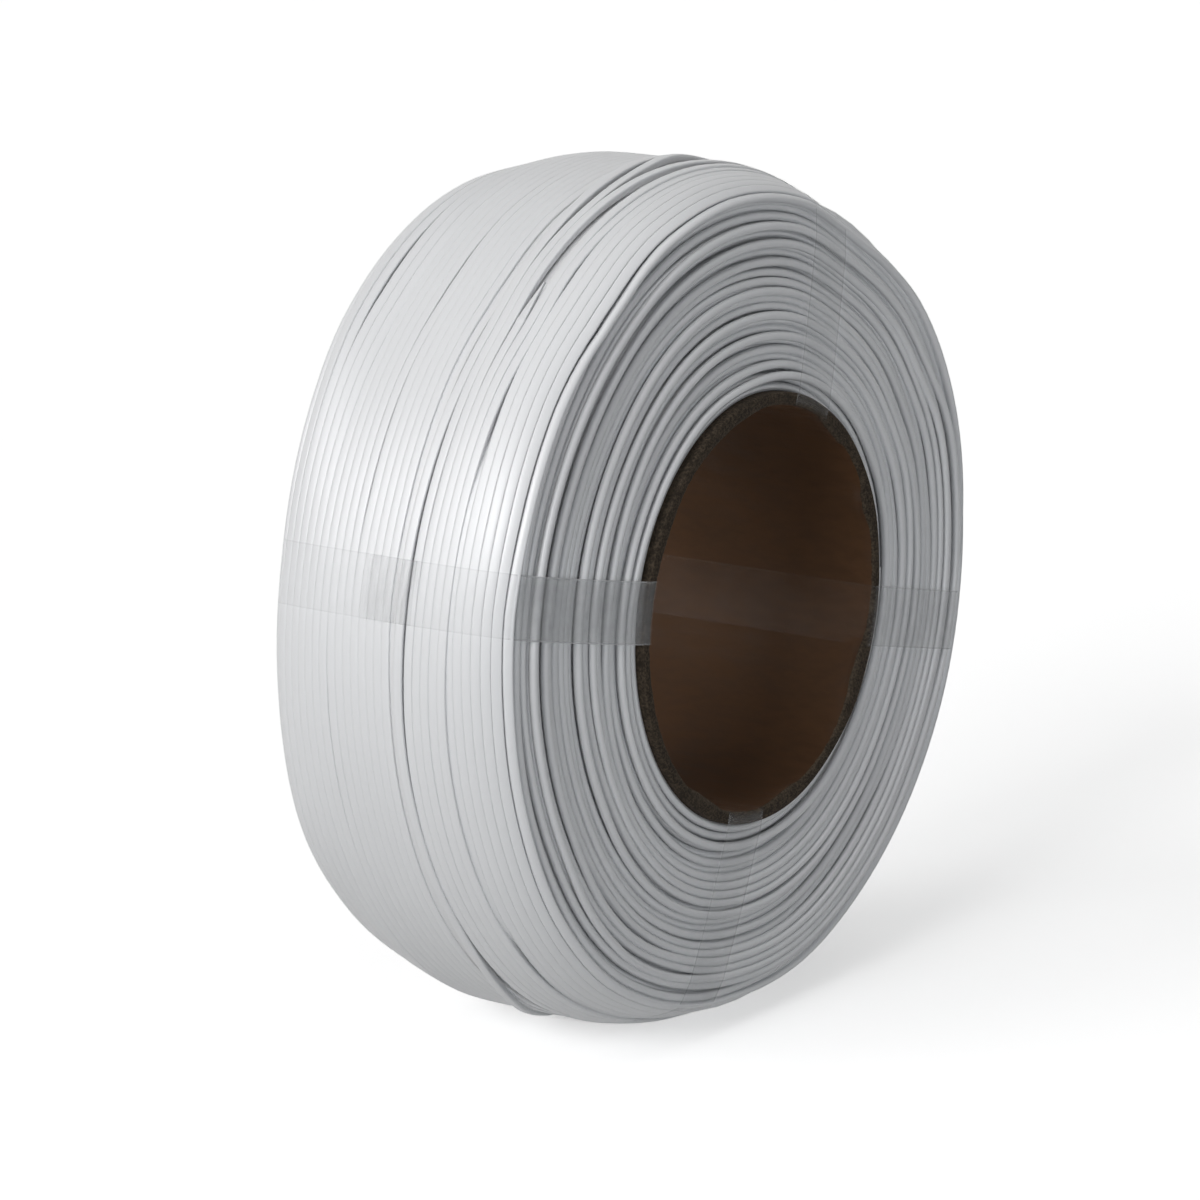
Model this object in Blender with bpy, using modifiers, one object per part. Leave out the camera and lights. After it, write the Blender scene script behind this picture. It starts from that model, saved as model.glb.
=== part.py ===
"""Refill coil of printing filament: a strand wound on a paper tube and held by four tape straps.

Frame: origin at the middle of the bore, +Y along the bore from the front face to the back, +Z up.
The coil stands on its rim, with its strands pressed flat where they meet the ground.
Lengths are in metres, and angles round the bore are in degrees from +X towards +Z.
"""
import math

import bmesh
import bpy
import numpy as np

# Strand
FILAMENT_DIAMETER = 0.00175
PRESSED_SHARE = 0.1

# Paper tube
TUBE_OUTER_DIAMETER = 0.086
TUBE_WALL = 0.0035
TUBE_LENGTH = 0.0576
TUBE_EDGE = 0.0004

# Winding
COIL_DIAMETER = 0.169
COIL_WIDTH = 0.0545
COIL_TOWARDS_FRONT = 0.0008
FRONT_SHOULDER_RUN = 0.027
FRONT_SHOULDER_DROP = 0.0088
BACK_SHOULDER_RUN = 0.0167
BACK_SHOULDER_DROP = 0.0033
SHOULDER_POWER = 2.2
OUTER_LOOPS = 24
FACE_RIBS = 10
FACE_RIB_DEPTH = 0.0015

# Tape straps
STRAP_WIDTH = 0.012
STRAP_THICKNESS = 0.00012
STRAP_LAP = 0.0112
STRAP_LAP_MIDDLE = -0.002
STRAP_LAP_RAMP = 0.001
STRAP_LAP_GAP = 0.0001
STRAP_CORNER = 0.0015
STRAP_ANGLES = {"upper": 70.0, "left": 169.5, "lower": 256.0, "right": 347.0}

# Clearances
FIT_GAP = 0.0003

# Mesh counts
POINTS_PER_LOOP = 24
ROUND_STEPS = 72
SHOULDER_STEPS = 10
CORNER_STEPS = 3
LAP_STEPS = 4
WELD_DISTANCE = 0.000001

# Sizes that follow
FILAMENT_RADIUS = FILAMENT_DIAMETER / 2
TUBE_OUTER_RADIUS = TUBE_OUTER_DIAMETER / 2
TUBE_BORE_RADIUS = TUBE_OUTER_RADIUS - TUBE_WALL
COIL_RADIUS = COIL_DIAMETER / 2
BACK_FACE = COIL_WIDTH / 2 - COIL_TOWARDS_FRONT
FRONT_FACE = -COIL_WIDTH / 2 - COIL_TOWARDS_FRONT
LOOP_STEP = 2 * math.pi / POINTS_PER_LOOP
CHORD_SHARE = math.cos(LOOP_STEP / 2)
FACET_SHARE = math.cos(math.pi / ROUND_STEPS)

COLOURS = {
    "tube_paper": ((0.085, 0.052, 0.030), 0.85),
    "filament": ((0.78, 0.79, 0.80), 0.30),
    "tape": ((0.82, 0.84, 0.85), 0.15),
}


def clear_scene():
    for old in list(bpy.data.objects):
        bpy.data.objects.remove(old, do_unlink=True)


def make_collection(name):
    collection = bpy.data.collections.new(name)
    bpy.context.scene.collection.children.link(collection)
    return collection


def make_material(name):
    colour, roughness = COLOURS[name]
    material = bpy.data.materials.new(name)
    material.use_nodes = True
    shader = material.node_tree.nodes["Principled BSDF"]
    shader.inputs["Base Color"].default_value = (*colour, 1.0)
    shader.inputs["Roughness"].default_value = roughness
    shader.inputs["Metallic"].default_value = 0.0
    return material


def add_object(name, data, collection, parent, material=None):
    """Put a mesh or curve in a collection, on the coil's axis."""
    piece = bpy.data.objects.new(name, data)
    collection.objects.link(piece)
    piece.parent = parent
    if material:
        data.materials.append(material)
    return piece


def meshed(curve, parent):
    """Swap a curve object for a closed mesh object with the same name and place."""
    bpy.context.view_layer.update()
    evaluated = curve.evaluated_get(bpy.context.evaluated_depsgraph_get())
    mesh = bpy.data.meshes.new_from_object(evaluated)
    body = bmesh.new()
    body.from_mesh(mesh)
    bmesh.ops.remove_doubles(body, verts=body.verts, dist=WELD_DISTANCE)
    body.to_mesh(mesh)
    body.free()
    name, collection, place = curve.name, curve.users_collection[0], curve.matrix_world.copy()
    bpy.data.objects.remove(curve, do_unlink=True)
    piece = bpy.data.objects.new(name, mesh)
    collection.objects.link(piece)
    piece.parent = parent
    piece.matrix_world = place
    return piece


def turned(name, outline, steps, collection, parent, material):
    """Turn a closed outline of (radius, height) points round the coil's axis in a number of steps."""
    mesh = bpy.data.meshes.new(name)
    count = len(outline)
    edges = [(at, (at + 1) % count) for at in range(count)]
    mesh.from_pydata([(radius, 0.0, height) for radius, height in outline], edges, [])
    piece = add_object(name, mesh, collection, parent, material)
    screw = piece.modifiers.new("turn", "SCREW")
    screw.steps = steps
    screw.render_steps = steps
    screw.use_merge_vertices = True
    screw.merge_threshold = WELD_DISTANCE
    return piece


def crown(inset):
    """Outer side of the winding from its back edge to its front edge, set in by an inset."""
    radius = COIL_RADIUS - inset
    shoulders = (
        (BACK_FACE - inset, BACK_SHOULDER_RUN, BACK_SHOULDER_DROP, True),
        (FRONT_FACE + inset, -FRONT_SHOULDER_RUN, FRONT_SHOULDER_DROP, False),
    )
    points = []
    for face, run, drop, from_edge in shoulders:
        turns = np.linspace(0.0, math.pi / 2, SHOULDER_STEPS + 1)
        if from_edge:
            turns = turns[::-1]
        for turn in turns:
            along = max(math.sin(turn), 0.0) ** (2 / SHOULDER_POWER)
            fall = 1 - max(math.cos(turn), 0.0) ** (2 / SHOULDER_POWER)
            points.append((radius - drop * fall, face - run * (1 - along)))
    return points


def spaced(outline, count):
    """Points at equal steps along an outline."""
    corners = np.array(outline)
    lengths = np.hypot(*np.diff(corners, axis=0).T)
    reached = np.concatenate(([0.0], np.cumsum(lengths)))
    wanted = np.linspace(0.0, reached[-1], count)
    return np.column_stack([np.interp(wanted, reached, corners[:, axis]) for axis in (0, 1)])


def winding_route():
    """Middle line of the outer layer: one strand that steps along the crown as it goes round.

    Its corners stand out a little, so that its straight runs lie on the round of the coil.
    """
    steps = OUTER_LOOPS * POINTS_PER_LOOP
    places = spaced(crown(FILAMENT_RADIUS), steps + 1)
    places[:, 0] /= CHORD_SHARE
    angles = (np.arange(steps + 1) + 0.5) * LOOP_STEP
    route = np.column_stack([
        places[:, 0] * np.cos(angles),
        places[:, 0] * np.sin(angles),
        places[:, 1],
    ])
    ends = []
    for at, beside in ((0, 1), (-1, -2)):
        angle = 2 * angles[at] - angles[beside]
        radius, height = places[at]
        ahead = np.array([radius * math.cos(angle), radius * math.sin(angle), height])
        run = ahead - route[at]
        ends.append(route[at] + run * FILAMENT_DIAMETER / np.linalg.norm(run))
    return np.vstack([ends[0], route, ends[1]])


def least_gap(route):
    """Smallest clear space between one loop of the strand and any other."""
    half_loop = POINTS_PER_LOOP // 2
    closest = math.inf
    for at in range(len(route) - half_loop):
        apart = np.linalg.norm(route[at + half_loop:] - route[at], axis=1)
        closest = min(closest, apart.min())
    return closest - FILAMENT_DIAMETER


def make_tube(collection, parent):
    """Paper tube, open at both ends, with its cut edges slightly worn."""
    top = TUBE_LENGTH / 2
    outer, bore, edge = TUBE_OUTER_RADIUS, TUBE_BORE_RADIUS, TUBE_EDGE
    outline = [
        (bore + edge, top), (outer - edge, top), (outer, top - edge),
        (outer, edge - top), (outer - edge, -top), (bore + edge, -top),
        (bore, edge - top), (bore, top - edge),
    ]
    turned("core_tube", outline, ROUND_STEPS, collection, parent, make_material("tube_paper"))


def ribbed_face(outer, inner, face, depth):
    """Points across one face of the winding, from its outer edge to the tube: ribs of laid strand."""
    radii = np.linspace(outer, inner, 2 * FACE_RIBS + 1)
    return [(radius, face + depth * (at % 2)) for at, radius in enumerate(radii)]


def make_pack(collection, parent, material):
    """Inner layers as one solid with ribbed faces, stepped at both edges to seat the outer loops.

    It has the facets of those loops, so its corners stand out and are turned as theirs are.
    """
    seat = crown(FILAMENT_DIAMETER + FIT_GAP)
    inner = TUBE_OUTER_RADIUS + FIT_GAP
    back = ribbed_face(seat[0][0], inner, BACK_FACE, -FACE_RIB_DEPTH)
    front = ribbed_face(seat[-1][0], inner, FRONT_FACE, FACE_RIB_DEPTH)
    outline = [(radius / CHORD_SHARE, height) for radius, height in back[::-1] + seat + front]
    pack = turned("filament_pack", outline, POINTS_PER_LOOP, collection, parent, material)
    pack.rotation_euler.z = LOOP_STEP / 2


def make_outer_layer(collection, cutters, parent, material):
    """Last layer of the strand, pressed flat along the ground."""
    route = winding_route()
    print(f"least gap between loops: {least_gap(route) * 1000:.2f} mm")
    curve = bpy.data.curves.new("filament_outer_layer", "CURVE")
    curve.dimensions = "3D"
    curve.twist_mode = "Z_UP"
    curve.bevel_depth = FILAMENT_RADIUS
    curve.bevel_resolution = 1
    curve.use_fill_caps = True
    strand = curve.splines.new("POLY")
    strand.points.add(len(route) - 1)
    for point, place in zip(strand.points, route):
        point.co = (*place, 1.0)
    layer = meshed(add_object("filament_outer_layer", curve, collection, parent), parent)
    layer.data.materials.append(material)
    layer.data.shade_smooth()

    lowest = max(vertex.co.y for vertex in layer.data.vertices)
    ground = lowest - FILAMENT_DIAMETER * PRESSED_SHARE
    bpy.ops.mesh.primitive_cube_add(size=1.0)
    block = bpy.context.object
    block.name = "ground_cutter"
    for owner in list(block.users_collection):
        owner.objects.unlink(block)
    cutters.objects.link(block)
    block.parent = parent
    block.scale = (2 * COIL_DIAMETER, FILAMENT_DIAMETER, 2 * COIL_WIDTH)
    block.location = (0.0, ground + FILAMENT_DIAMETER / 2, 0.0)
    block.display_type = "WIRE"
    block.hide_render = True
    press = layer.modifiers.new("press flat", "BOOLEAN")
    press.operation = "DIFFERENCE"
    press.object = block


def winding_reach(angle):
    """How far the faceted outer layer stands out under a strap's width, square to the strap."""
    turns = np.arange(POINTS_PER_LOOP) * LOOP_STEP - math.radians(angle)
    turns = turns[np.cos(turns) > math.cos(2 * LOOP_STEP)]
    across = np.linspace(-STRAP_WIDTH / 2, STRAP_WIDTH / 2, POINTS_PER_LOOP)[:, None]
    heights = (COIL_RADIUS - across * np.sin(turns)) / np.cos(turns)
    return heights.min(axis=1).max()


def rounded(before, corner, after):
    """Short arc of points in place of a corner."""
    before, corner, after = (np.array(point) for point in (before, corner, after))
    start = corner + (before - corner) * STRAP_CORNER / np.linalg.norm(before - corner)
    end = corner + (after - corner) * STRAP_CORNER / np.linalg.norm(after - corner)
    shares = np.linspace(0.0, 1.0, CORNER_STEPS + 1)
    return [(1 - t) ** 2 * start + 2 * t * (1 - t) * corner + t * t * end for t in shares]


def strap_route(angle):
    """Inner side of a strap's section: over the winding, down to the tube, through the bore and back.

    It starts under the lap, goes to the front and ends on top of its own start.
    """
    outline = np.array(crown(-FIT_GAP))
    outline[:, 0] += winding_reach(angle) - COIL_RADIUS
    radii, heights = outline[::-1, 0], outline[::-1, 1]
    lap_start = STRAP_LAP_MIDDLE + STRAP_LAP / 2
    lap_end = STRAP_LAP_MIDDLE - STRAP_LAP / 2

    def over(height, lift=0.0):
        return np.array([np.interp(height, heights, radii) + lift, height])

    front_height = -max(TUBE_LENGTH / 2, -FRONT_FACE) - FIT_GAP
    back_height = max(TUBE_LENGTH / 2, BACK_FACE) + FIT_GAP
    bore_wall = TUBE_BORE_RADIUS * FACET_SHARE - FIT_GAP
    in_bore = math.sqrt(bore_wall ** 2 - (STRAP_WIDTH / 2) ** 2)
    front_rim, back_rim = (TUBE_OUTER_RADIUS, front_height), (TUBE_OUTER_RADIUS, back_height)
    front_corner, back_corner = (in_bore, front_height), (in_bore, back_height)
    lift = STRAP_THICKNESS + STRAP_LAP_GAP

    route = [over(lap_start)]
    route += [point for point in outline if point[1] < lap_start]
    route += [np.array(front_rim)]
    route += rounded(front_rim, front_corner, back_corner)
    route += rounded(front_corner, back_corner, back_rim)
    route += [np.array(back_rim)]
    route += [point for point in outline if point[1] > lap_start + STRAP_LAP_RAMP]
    route += [over(lap_start + STRAP_LAP_RAMP)]
    route += [over(height, lift) for height in np.linspace(lap_start + lift, lap_end, LAP_STEPS + 1)]
    return route


def make_strap(name, angle, collection, parent, material):
    """Tape strap: one strip taken right round the section, its end lapped over its start."""
    route = strap_route(angle)
    curve = bpy.data.curves.new(name, "CURVE")
    curve.dimensions = "2D"
    curve.fill_mode = "NONE"
    curve.extrude = STRAP_WIDTH / 2
    strip = curve.splines.new("POLY")
    strip.points.add(len(route) - 1)
    for point, (radius, height) in zip(strip.points, route):
        point.co = (radius, height, 0.0, 1.0)
    ribbon = add_object(name, curve, collection, parent)
    ribbon.rotation_euler = (math.pi / 2, 0.0, -math.radians(angle))
    strap = meshed(ribbon, parent)
    strap.data.materials.append(material)
    shell = strap.modifiers.new("tape thickness", "SOLIDIFY")
    shell.thickness = STRAP_THICKNESS
    shell.offset = 1.0
    shell.use_even_offset = True


def main():
    clear_scene()
    parts = make_collection("filament_refill_coil")
    cutters = make_collection("cutters")
    axis = bpy.data.objects.new("coil_axis", None)
    parts.objects.link(axis)
    axis.rotation_euler = (-math.pi / 2, 0.0, 0.0)
    filament = make_material("filament")
    tape = make_material("tape")
    make_tube(parts, axis)
    make_pack(parts, axis, filament)
    make_outer_layer(parts, cutters, axis, filament)
    for name, angle in STRAP_ANGLES.items():
        make_strap(f"strap_{name}", angle, parts, axis, tape)


main()
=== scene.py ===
"""Dress a filament refill coil: the wound strand, its paper core and the film straps that hold it."""

import math

import bpy
import numpy as np
from mathutils import Matrix, Vector


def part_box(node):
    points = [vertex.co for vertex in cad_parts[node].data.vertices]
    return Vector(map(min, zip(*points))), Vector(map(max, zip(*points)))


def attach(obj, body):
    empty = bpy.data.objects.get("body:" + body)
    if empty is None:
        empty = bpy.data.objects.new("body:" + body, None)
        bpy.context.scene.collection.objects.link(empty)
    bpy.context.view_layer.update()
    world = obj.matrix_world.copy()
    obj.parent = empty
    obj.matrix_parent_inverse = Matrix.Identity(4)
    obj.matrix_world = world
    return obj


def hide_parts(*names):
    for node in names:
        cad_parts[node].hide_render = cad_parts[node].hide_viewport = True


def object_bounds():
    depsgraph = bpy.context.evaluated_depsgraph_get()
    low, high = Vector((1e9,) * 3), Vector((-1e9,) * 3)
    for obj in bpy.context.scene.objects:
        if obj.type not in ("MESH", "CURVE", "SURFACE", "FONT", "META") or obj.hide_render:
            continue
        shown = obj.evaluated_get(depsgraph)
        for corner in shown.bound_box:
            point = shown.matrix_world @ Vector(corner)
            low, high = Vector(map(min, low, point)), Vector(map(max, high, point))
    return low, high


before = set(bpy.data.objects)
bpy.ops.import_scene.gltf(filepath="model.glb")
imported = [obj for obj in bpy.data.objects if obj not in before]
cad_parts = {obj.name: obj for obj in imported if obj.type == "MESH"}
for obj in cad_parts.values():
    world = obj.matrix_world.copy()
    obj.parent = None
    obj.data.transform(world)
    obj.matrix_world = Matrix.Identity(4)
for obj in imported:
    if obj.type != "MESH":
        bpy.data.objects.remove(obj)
CAD_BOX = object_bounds()

bl_info = {
    "name": "Filament refill coil",
    "version": (1, 0, 0),
    "blender": (4, 2, 0),
    "location": "3D View > Sidebar > Coil",
    "description": "Builds a refill coil of filament on its paper core, held by four film straps",
    "category": "Add Mesh",
}

BODY = "root"
MM = 0.001

TUBE_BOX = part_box("core_tube")
PACK_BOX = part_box("filament_pack")
TUBE_RADIUS = TUBE_BOX[1].x
TUBE_HALF_LENGTH = TUBE_BOX[1].y
FLOOR_HEIGHT = CAD_BOX[0].z
FRONT_FACE = PACK_BOX[0].y
BACK_FACE = PACK_BOX[1].y


class StrandSettings(bpy.types.PropertyGroup):
    """Sizes and colours of the wound strand."""

    diameter: bpy.props.FloatProperty(
        name="Strand diameter",
        description="Thickness of the filament",
        default=0.00175,
        min=0.001,
        max=0.003,
        unit="LENGTH",
        precision=5,
    )
    colour: bpy.props.FloatVectorProperty(
        name="Strand colour",
        description="Colour of the filament",
        default=(0.80, 0.805, 0.815),
        min=0.0,
        max=1.0,
        size=3,
        subtype="COLOR",
    )
    shade: bpy.props.FloatVectorProperty(
        name="Strand shade",
        description="Colour of the filament where it is a little duller",
        default=(0.775, 0.78, 0.79),
        min=0.0,
        max=1.0,
        size=3,
        subtype="COLOR",
    )


class CoreSettings(bpy.types.PropertyGroup):
    """Sizes and colours of the paper tube."""

    bore: bpy.props.FloatProperty(
        name="Bore",
        description="Inner diameter of the paper tube",
        default=0.079,
        min=0.04,
        max=0.084,
        unit="LENGTH",
        precision=4,
    )
    paper: bpy.props.FloatVectorProperty(
        name="Paper colour",
        description="Colour of the smooth paper inside the tube",
        default=(0.092, 0.046, 0.022),
        min=0.0,
        max=1.0,
        size=3,
        subtype="COLOR",
    )
    # Also worn by the tube's outer face, where the darker colour is painted shade.
    cut: bpy.props.FloatVectorProperty(
        name="Cut edge colour",
        description="Colour of the paper plies at the cut ends",
        default=(0.062, 0.047, 0.033),
        min=0.0,
        max=1.0,
        size=3,
        subtype="COLOR",
    )


class StrapSettings(bpy.types.PropertyGroup):
    """Sizes and colours of the film straps."""

    width: bpy.props.FloatProperty(
        name="Strap width",
        description="Width of each film strap",
        default=0.012,
        min=0.004,
        max=0.03,
        unit="LENGTH",
        precision=4,
    )
    tint: bpy.props.FloatVectorProperty(
        name="Film tint",
        description="Colour of the haze in the clear film",
        default=(0.70, 0.71, 0.72),
        min=0.0,
        max=1.0,
        size=3,
        subtype="COLOR",
    )
    haze: bpy.props.FloatProperty(
        name="Film haze",
        description="Share of the light that the film holds back",
        default=0.075,
        min=0.0,
        max=1.0,
        subtype="FACTOR",
    )


class StageSettings(bpy.types.PropertyGroup):
    """Light and floor of the studio."""

    key: bpy.props.FloatProperty(
        name="Key light",
        description="Strength of the distant light from the left and behind",
        default=1.2,
        min=0.0,
        max=20.0,
    )
    side: bpy.props.FloatProperty(
        name="Side light",
        description="Strength of the broad distant light from the left",
        default=1.0,
        min=0.0,
        max=20.0,
    )
    top: bpy.props.FloatProperty(
        name="Top light",
        description="Strength of the broad distant light overhead",
        default=0.5,
        min=0.0,
        max=20.0,
    )
    front: bpy.props.FloatProperty(
        name="Front light",
        description="Power of the soft light that faces the coil's front",
        default=3.2,
        min=0.0,
        max=1000.0,
        unit="POWER",
    )
    fill: bpy.props.FloatProperty(
        name="Room light",
        description="Brightness of the even light from all round",
        default=0.05,
        min=0.0,
        max=2.0,
    )
    floor: bpy.props.FloatVectorProperty(
        name="Floor colour",
        description="Colour of the plain floor",
        default=(0.95, 0.95, 0.95),
        min=0.0,
        max=1.0,
        size=3,
        subtype="COLOR",
    )


class Wire:
    """A node's output that takes part in Python expressions, each of which adds a Math node."""

    def __init__(self, tree, socket=None):
        self.tree = tree
        self.socket = socket

    def node(self, kind, settings=None, inputs=None, output=0):
        """Add a node, set it up, feed its sockets and return one of its outputs."""
        made = self.tree.nodes.new(kind)
        for name, value in (settings or {}).items():
            if name == "stops":
                self.set_stops(made.color_ramp, value)
            else:
                setattr(made, name, value)
        for name, value in (inputs or {}).items():
            if isinstance(value, Wire):
                self.tree.links.new(value.socket, made.inputs[name])
            else:
                made.inputs[name].default_value = value
        return Wire(self.tree, made.outputs[output] if made.outputs else None)

    @staticmethod
    def set_stops(ramp, stops):
        """Give a colour ramp its places and colours."""
        while len(ramp.elements) < len(stops):
            ramp.elements.new(1.0)
        for element, (place, colour) in zip(ramp.elements, stops):
            element.position = place
            element.color = colour

    def math(self, operation, first, second=0.0):
        """One Math node on two values or wires."""
        return self.node("ShaderNodeMath", {"operation": operation}, {0: first, 1: second})

    def __add__(self, other):
        return self.math("ADD", self, other)

    __radd__ = __add__

    def __sub__(self, other):
        return self.math("SUBTRACT", self, other)

    def __rsub__(self, other):
        return self.math("SUBTRACT", other, self)

    def __mul__(self, other):
        return self.math("MULTIPLY", self, other)

    __rmul__ = __mul__

    def __truediv__(self, other):
        return self.math("DIVIDE", self, other)

    def __rtruediv__(self, other):
        return self.math("DIVIDE", other, self)

    def __pow__(self, other):
        return self.math("POWER", self, other)

    def clipped(self):
        """The value held between 0 and 1."""
        return self.node("ShaderNodeClamp", None, {"Value": self})

    def span(self, low, high, to_low=0.0, to_high=1.0):
        """The value moved smoothly from one range to another."""
        places = {"Value": self, "From Min": low, "From Max": high, "To Min": to_low, "To Max": to_high}
        return self.node("ShaderNodeMapRange", {"interpolation_type": "SMOOTHSTEP"}, places)

    def noise(self, place, scale, detail=2.0, roughness=0.5):
        """A noise texture's value at a place."""
        sockets = {"Vector": place, "Scale": scale, "Detail": detail, "Roughness": roughness}
        return self.node("ShaderNodeTexNoise", None, sockets)

    def blend(self, first, second):
        """Mix two colours by this value."""
        sockets = {"Factor": self, 6: first, 7: second}
        return self.node("ShaderNodeMix", {"data_type": "RGBA"}, sockets, 2)

    def place(self, stretch=(1.0, 1.0, 1.0)):
        """Object coordinates, stretched along each axis."""
        where = self.node("ShaderNodeTexCoord", None, None, "Object")
        if stretch == (1.0, 1.0, 1.0):
            return where
        scaled = {0: where, 1: stretch}
        return self.node("ShaderNodeVectorMath", {"operation": "MULTIPLY"}, scaled)

    def attribute(self, name):
        """A value that the mesh carries at its points."""
        return self.node("ShaderNodeAttribute", {"attribute_name": name}, None, "Fac")


def opaque(colour):
    """A colour with full opacity."""
    return (colour[0], colour[1], colour[2], 1.0)


def new_finish(name):
    """A new material with its shader and a wire to start expressions from."""
    finish = bpy.data.materials.new(name)
    finish.use_nodes = True
    tree = finish.node_tree
    shader = next(node for node in tree.nodes if node.type == "BSDF_PRINCIPLED")
    return finish, shader, Wire(tree)


def feed(shader, values):
    """Set or link the sockets of a shader."""
    tree = shader.id_data
    for name, value in values.items():
        if isinstance(value, Wire):
            tree.links.new(value.socket, shader.inputs[name])
        else:
            shader.inputs[name].default_value = value


def strand_finish(settings):
    """Silky filament: bright, satin and a little uneven along its length."""
    finish, shader, wire = new_finish("silky_filament")
    broad = wire.noise(wire.place(), 14.0, 2.0)
    feed(
        shader,
        {
            "Base Color": broad.span(0.3, 0.7).blend(opaque(settings.shade), opaque(settings.colour)),
            "Roughness": broad.span(0.3, 0.7, 0.42, 0.48),
            "Metallic": 0.10,
            "Specular IOR Level": 0.5,
        },
    )
    return finish


def paper_finish(settings):
    """Brown core paper: smooth inside, with faint fibres."""
    finish, shader, wire = new_finish("core_paper")
    fibres = wire.noise(wire.place((1.0, 0.35, 1.0)), 420.0, 4.0, 0.6)
    cloud = wire.noise(wire.place(), 26.0, 2.0)
    tone = (0.65 * cloud.span(0.3, 0.7) + 0.35 * fibres.span(0.3, 0.7)).clipped()
    dark = tuple(0.72 * part for part in settings.paper)
    bright = tuple(1.25 * part for part in settings.paper)
    bump = wire.node("ShaderNodeBump", None, {"Strength": 0.25, "Distance": 0.0002, "Height": fibres})
    feed(
        shader,
        {
            "Base Color": tone.blend(opaque(dark), opaque(bright)),
            "Roughness": fibres.span(0.2, 0.8, 0.48, 0.66),
            "Specular IOR Level": 0.12,
            "Normal": bump,
        },
    )
    return finish


def cut_and_shaded_finish(settings):
    """Cut ends of the paper tube: dull plies with rough fibres. The tube's outer face wears it too, where its darker
    colour is painted shade.
    """
    finish, shader, wire = new_finish("cut_paper_and_painted_shade")
    fibres = wire.noise(wire.place(), 1900.0, 3.0, 0.6)
    cloud = wire.noise(wire.place(), 420.0, 2.0)
    plies = wire.attribute("ply")
    tone = (0.6 * plies + 0.7 * fibres.span(0.36, 0.68) + 0.3 * cloud.span(0.3, 0.7) - 0.35).clipped()
    dark = tuple(0.45 * part for part in settings.cut)
    bright = tuple(1.8 * part for part in settings.cut)
    bump = wire.node("ShaderNodeBump", None, {"Strength": 0.6, "Distance": 0.0003, "Height": fibres})
    feed(
        shader,
        {
            "Base Color": tone.blend(opaque(dark), opaque(bright)),
            "Roughness": 0.85,
            "Specular IOR Level": 0.15,
            "Normal": bump,
        },
    )
    return finish


def film_finish(settings):
    """Clear film: nearly see-through, hazy, with cut edges that catch the light."""
    finish, shader, wire = new_finish("clear_film")
    cloud = wire.noise(wire.place(), 160.0, 3.0, 0.6)
    edge = wire.attribute("edge")
    crease = wire.attribute("crease")
    veil = wire.attribute("veil")
    haze = veil * (settings.haze * cloud.span(0.2, 0.8, 0.75, 1.25) + 0.12 * edge) + 0.25 * crease
    feed(
        shader,
        {
            "Base Color": opaque(settings.tint),
            "Roughness": cloud.span(0.2, 0.8, 0.16, 0.30),
            "Alpha": haze.clipped(),
            "Specular IOR Level": 0.5,
        },
    )
    return finish


SAMPLES = 144
REACH_BACK = 140
CLIMB = 0.10
FULL_LAYERS = 24
OUTER_CENTRE = 82.0
SEED = 3

COIL_RADIUS = 84.5
FRONT_RUN = 27.0
FRONT_DROP = 8.8
BACK_RUN = 16.7
BACK_DROP = 3.3
ROUNDNESS = 2.2
OVAL = 0.011
OVAL_AT = 80.0
FRONT_RIM = (
    (0, 0.55),
    (25, 0.7),
    (40, 0.2),
    (50, -1.2),
    (60, -2.2),
    (68, -1.6),
    (76, -0.2),
    (230, 0.0),
    (245, -0.8),
    (258, -1.4),
    (268, -1.7),
    (276, -1.2),
    (285, -0.65),
    (300, -0.6),
    (320, 0.0),
    (341, 0.55),
    (360, 0.55),
)
BACK_RIM = (
    (0, 0.0),
    (80, -0.5),
    (92, -0.8),
    (104, 0.9),
    (114, 2.1),
    (124, 2.7),
    (134, 2.8),
    (147, 1.5),
    (157, 0.5),
    (170, -0.5),
    (190, 0.0),
    (205, 0.7),
    (222, -0.6),
    (237, -1.5),
    (248, -0.4),
    (256, 0.0),
    (360, 0.0),
)

FRONT_EDGES = {23: -25.2, 21: -20.5}
BACK_EDGES = {23: 24.7, 22: 25.3}

SLITS = ((8.3, 95, 170, 0.6), (12.4, 172, 214, 0.4), (21.2, 112, 142, 0.7))

TOP_BEGINS = 25.0
TOP_CROSSING = 39
TOP_TURNS = 2
TOP_START = -15.72
SWING = (
    (0, 0.0),
    (95, 0.3),
    (121, 0.4),
    (131, 0.1),
    (141, 1.1),
    (155, 1.8),
    (174, 2.5),
    (193, 3.0),
    (212, 2.9),
    (230, 2.2),
    (254, 1.2),
    (290, 0.4),
    (330, 0.0),
    (360, 0.0),
)
CHANNEL = (
    (0, 0.0),
    (60, 1.4),
    (95, 2.2),
    (118, 2.5),
    (131, 2.4),
    (145, 1.95),
    (160, 1.77),
    (270, 1.77),
    (300, 1.0),
    (330, 0.3),
    (360, 0.0),
)
SECOND_GAP = (
    (0, 0.0),
    (20, 4.0),
    (45, 10.0),
    (60, 11.0),
    (74, 8.0),
    (90, 3.6),
    (100, 1.4),
    (108, 0.4),
    (118, 0.1),
    (139, 0.08),
    (147, 0.16),
    (159, 0.22),
    (174, 0.14),
    (195, 0.05),
    (230, 0.0),
    (360, 0.0),
)
LAST_GAP = (
    (0, 0.0),
    (70, 0.6),
    (95, 0.8),
    (106, 1.0),
    (118, 0.5),
    (134, 0.2),
    (140, 0.2),
    (150, 0.4),
    (166, 0.4),
    (186, 0.3),
    (200, 0.1),
    (214, 0.05),
    (223, 0.6),
    (231, 2.2),
    (238, 4.8),
    (247, 9.5),
    (254, 13.5),
    (264, 17.5),
    (280, 19.5),
    (300, 18.0),
    (330, 10.0),
    (345, 5.0),
    (360, 0.0),
)
END_AT = 122.0
TOP_STEP = 1.4
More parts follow.
